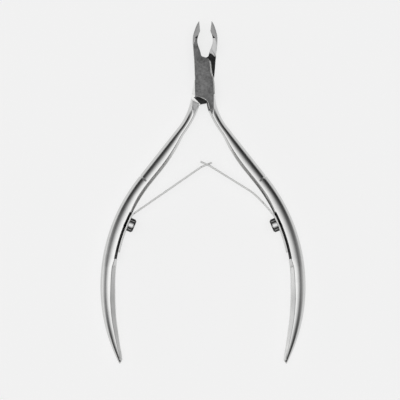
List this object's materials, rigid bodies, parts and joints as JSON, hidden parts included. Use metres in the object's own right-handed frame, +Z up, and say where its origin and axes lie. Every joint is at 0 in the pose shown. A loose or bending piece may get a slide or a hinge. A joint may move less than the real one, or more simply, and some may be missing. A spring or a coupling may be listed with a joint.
{
  "type": "cuticle nipper",
  "caption": "Hand-held cuticle nipper with fine pointed jaws, a lap joint, long bowed handles and interlocked leaf springs that hold it open.",
  "frame": {"origin": "on the pivot's axis, level with the flat back face", "axes": "+Z up out of the front face, +Y towards the jaws' tips, +X to the right as seen from the front"},
  "size_m": [0.0659, 0.1101, 0.0061],
  "materials": {
    "forged_steel": "polished handles, satin joint and jaws",
    "pin_steel": "satin",
    "spring_steel": "satin",
    "screw_steel": "polished"
  },
  "bodies": {
    "rear": {"rear_half": "forged_steel", "left_spring_foot": "spring_steel", "left_spring_screw": "screw_steel"},
    "front": {"front_half": "forged_steel", "pivot_pin": "pin_steel", "right_spring_foot": "spring_steel", "right_spring_screw": "screw_steel"},
    "left_leaf": {"left_spring_leaf": "spring_steel"},
    "right_leaf": {"right_spring_leaf": "spring_steel"}
  },
  "joints": [
    {"name": "pivot", "type": "hinge", "parent": "rear", "child": "front", "pos_m": [0, 0, 0.0025], "axis": [0, 0, 1], "range_deg": [-12.1, 0], "stiffness_Nm_per_rad": 1.5},
    {"name": "left_leaf_flex", "type": "hinge", "parent": "rear", "child": "left_leaf", "pos_m": [-0.02256, -0.04301, 0.0025], "axis": [0, 0, 1], "range_deg": [-0.1, 9.2]},
    {"name": "right_leaf_flex", "type": "hinge", "parent": "front", "child": "right_leaf", "pos_m": [0.01899, -0.03974, 0.0025], "axis": [0, 0, 1], "range_deg": [-11.3, 0.1]}
  ],
  "couplings": [
    {"joint": "left_leaf_flex", "follows": "pivot", "ratio": -0.744},
    {"joint": "right_leaf_flex", "follows": "pivot", "ratio": 0.917}
  ]
}
